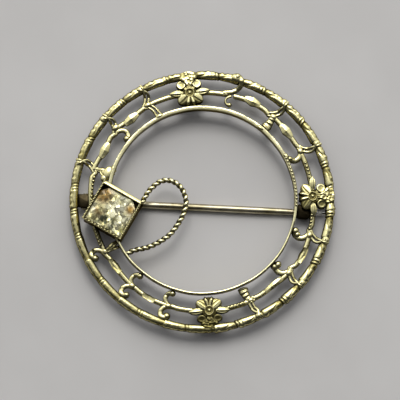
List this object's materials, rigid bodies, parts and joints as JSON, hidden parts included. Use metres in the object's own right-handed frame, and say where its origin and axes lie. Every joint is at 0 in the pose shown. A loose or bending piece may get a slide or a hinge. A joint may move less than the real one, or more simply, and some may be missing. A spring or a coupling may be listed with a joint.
{
  "type": "scatter pin",
  "caption": "Open circle brooch of pierced scrollwork with small flowers, a square stone in a box setting, a twisted wire loop and a hinged pin stem.",
  "frame": {"origin": "on the ring's axis, level with the lowest points of the hinge ears and the catch", "axes": "+Z out of the face, +Y towards the top flower, -X towards the square setting"},
  "size_m": [0.03, 0.03, 0.0041],
  "materials": {
    "gilt_brass": "worn, satin",
    "stone_glass": "faceted",
    "pin_steel": "worn, satin"
  },
  "bodies": {
    "brooch": {"brooch_frame": "gilt_brass", "stone": "stone_glass", "hinge_rivet": "pin_steel"},
    "pin": {"pin_stem": "pin_steel"}
  },
  "joints": [
    {"name": "pin_hinge", "type": "hinge", "parent": "brooch", "child": "pin", "pos_m": [-0.01319, 0.0009, 0.00048], "axis": [0.114, 0.9935, 0], "range_deg": [0, 90]}
  ]
}
